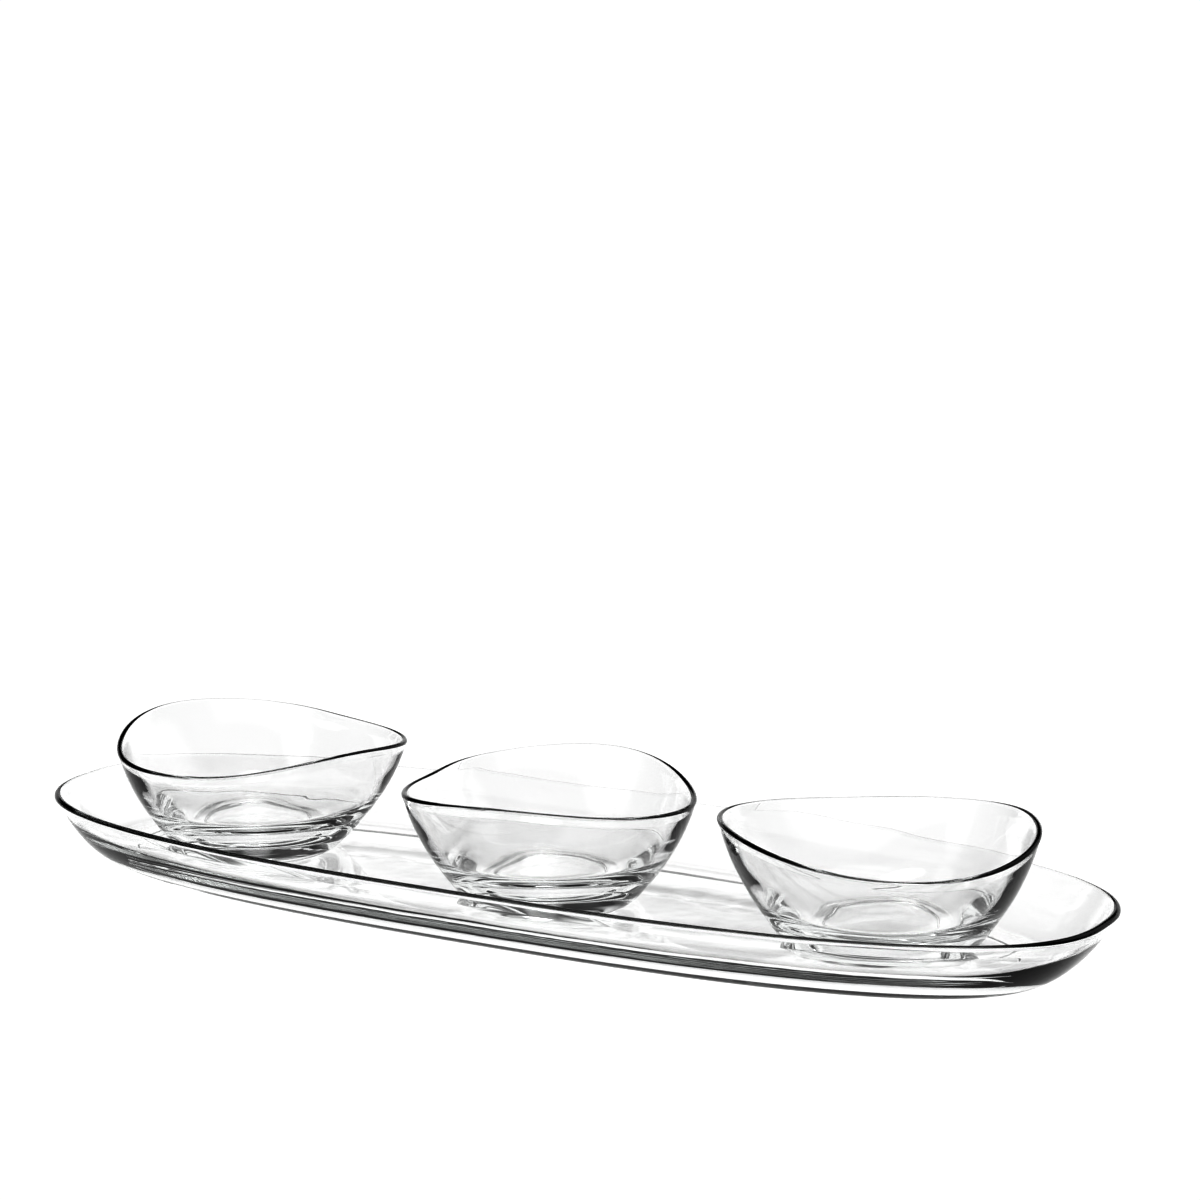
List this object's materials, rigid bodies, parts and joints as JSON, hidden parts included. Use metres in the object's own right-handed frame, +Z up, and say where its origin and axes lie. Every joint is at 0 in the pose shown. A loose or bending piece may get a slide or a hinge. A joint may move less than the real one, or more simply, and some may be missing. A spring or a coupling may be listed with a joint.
{
  "type": "chip and dip server",
  "caption": "Long oval clear glass tray with loose wavy-rimmed clear glass dip bowls standing in a row on its floor.",
  "frame": {"origin": "middle of the tray on the plane it stands on", "axes": "+X along the tray, +Y across it, +Z up"},
  "size_m": [0.4348, 0.1512, 0.0525],
  "materials": {
    "tray_glass": "polished",
    "bowl_glass": "polished"
  },
  "bodies": {
    "tray": {"tray": "tray_glass"},
    "bowl_left": {"bowl_left": "bowl_glass"},
    "bowl_middle": {"bowl_middle": "bowl_glass"},
    "bowl_right": {"bowl_right": "bowl_glass"}
  },
  "joints": [
    {"name": "lift_bowl_left", "type": "slide", "parent": "tray", "child": "bowl_left", "axis": [0, 0, 1], "range_m": [0, 0.12]},
    {"name": "lift_bowl_middle", "type": "slide", "parent": "tray", "child": "bowl_middle", "axis": [0, 0, 1], "range_m": [0, 0.12]},
    {"name": "lift_bowl_right", "type": "slide", "parent": "tray", "child": "bowl_right", "axis": [0, 0, 1], "range_m": [0, 0.12]}
  ]
}
